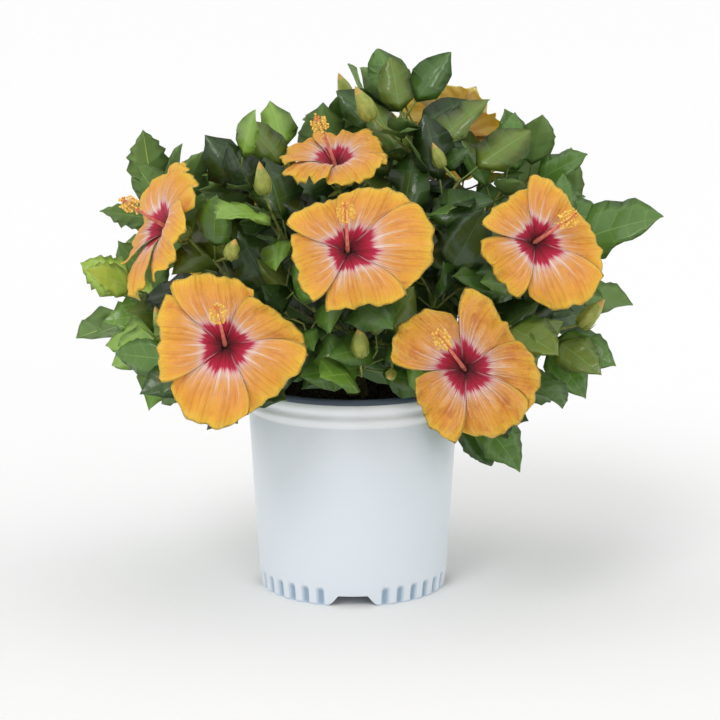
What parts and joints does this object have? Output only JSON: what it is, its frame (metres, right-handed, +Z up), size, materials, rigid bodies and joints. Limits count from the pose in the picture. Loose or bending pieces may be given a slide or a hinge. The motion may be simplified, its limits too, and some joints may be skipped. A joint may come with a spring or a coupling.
{
  "type": "potted hibiscus shrub",
  "caption": "Compact tropical hibiscus shrub with glossy toothed leaves and large orange blooms with crimson eyes, growing in a plain white nursery pot.",
  "frame": {"origin": "on the ground, under the middle of the pot's foot", "axes": "+Z up; the front of the plant faces -Y; +X to the viewer's right"},
  "size_m": [0.5454, 0.4251, 0.5014],
  "materials": {
    "pot": "satin white polypropylene",
    "potting_mix": "damp crumbly bark and peat",
    "bark": "matt young bark",
    "leaves": "glossy green leaf",
    "petals": "soft satin petal"
  },
  "bodies": {
    "root": {"pot": "pot", "potting_mix": "potting_mix", "main_stem": "bark", "bough_front": "bark", "bough_right": "bark", "bough_left": "bark", "bough_back_left": "bark", "bough_back": "bark", "side_bough_front_left": "bark", "side_bough_front_centre": "bark", "side_bough_front_right": "bark", "side_bough_upper_right": "bark", "side_bough_top": "bark", "side_bough_top_left": "bark", "side_bough_upper_left": "bark", "side_bough_left_low": "bark", "side_bough_back_low": "bark", "side_bough_back_right": "bark", "bloom_front_left": "petals", "bloom_front_centre": "petals", "bloom_front_right": "petals", "bloom_right": "petals", "bloom_left": "petals", "bloom_upper_centre": "petals", "bloom_top": "petals", "bloom_back_left": "petals", "bloom_back_right": "petals", "bloom_back_top": "petals", "foliage_upper_centre": "leaves", "foliage_front_left": "leaves", "foliage_front_centre": "leaves", "foliage_front_right": "leaves", "foliage_right": "leaves", "foliage_upper_right": "leaves", "foliage_top": "leaves", "foliage_top_left": "leaves", "foliage_upper_left": "leaves", "foliage_left": "leaves", "foliage_left_low": "leaves", "foliage_back_left": "leaves", "foliage_back_low": "leaves", "foliage_back_top": "leaves", "foliage_back_right": "leaves"}
  },
  "joints": []
}
